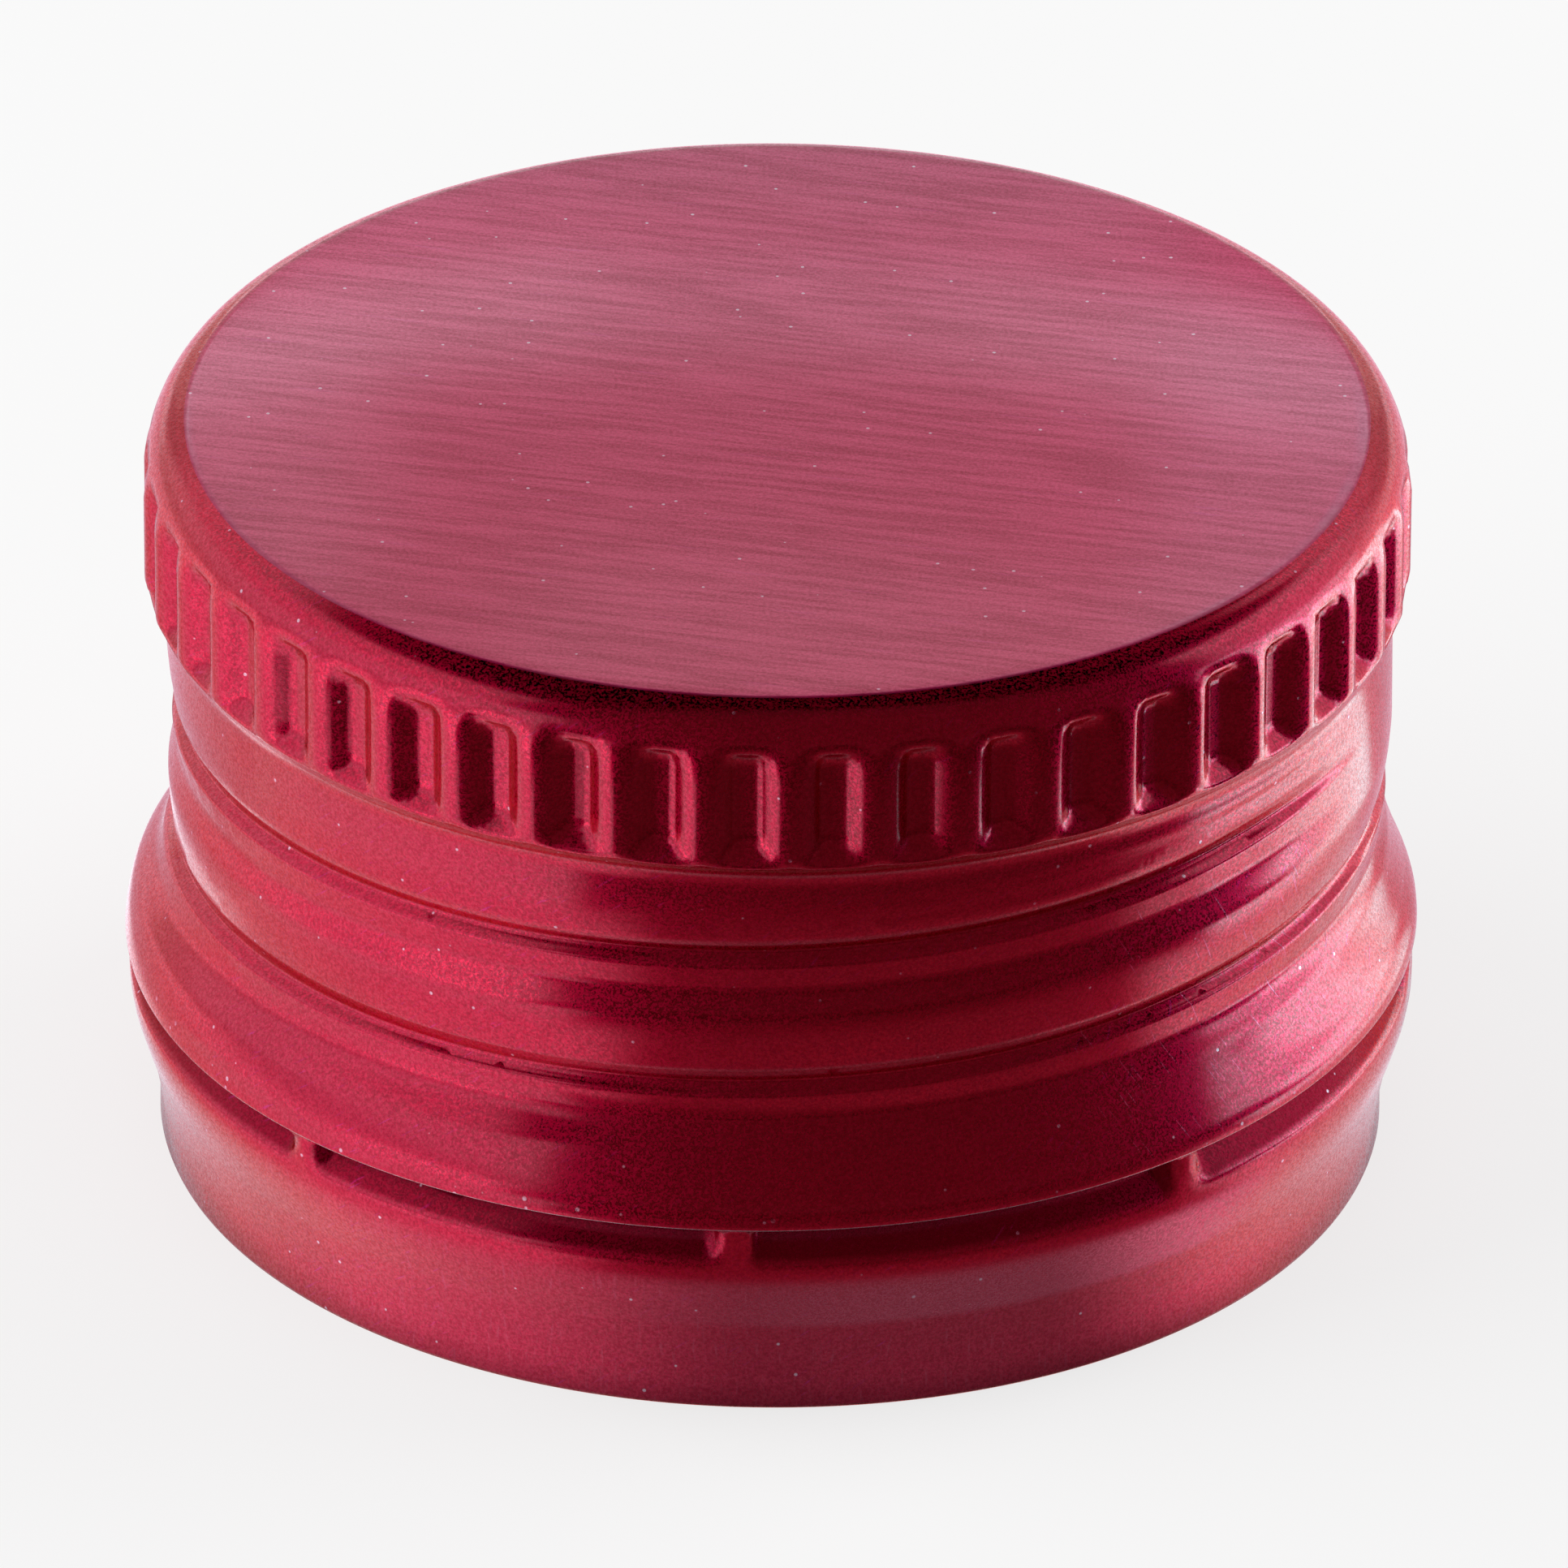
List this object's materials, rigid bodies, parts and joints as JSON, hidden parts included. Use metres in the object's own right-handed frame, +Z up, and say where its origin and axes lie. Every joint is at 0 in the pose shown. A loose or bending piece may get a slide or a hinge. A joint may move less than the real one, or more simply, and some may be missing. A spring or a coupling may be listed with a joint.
{
  "type": "bottle cap",
  "caption": "Roll-on aluminium screw cap: flat top, knurled grip, rolled thread, flared skirt, tamper band on small bridges, and a sealing disc pressed up inside.",
  "frame": {"origin": "centre of the open rim, in the plane that the rim stands on", "axes": "+Z up along the cap's axis to the flat top, -Y towards the side shown in the picture, +X to the right of it"},
  "size_m": [0.0288, 0.0288, 0.0173],
  "materials": {
    "lacquered_sheet": "red translucent lacquer over rolled aluminium sheet, satin brushed top, glossy side",
    "foam_liner": "matt expanded polyethylene"
  },
  "bodies": {
    "root": {"shell": "lacquered_sheet", "sealing_disc": "foam_liner"}
  },
  "joints": []
}
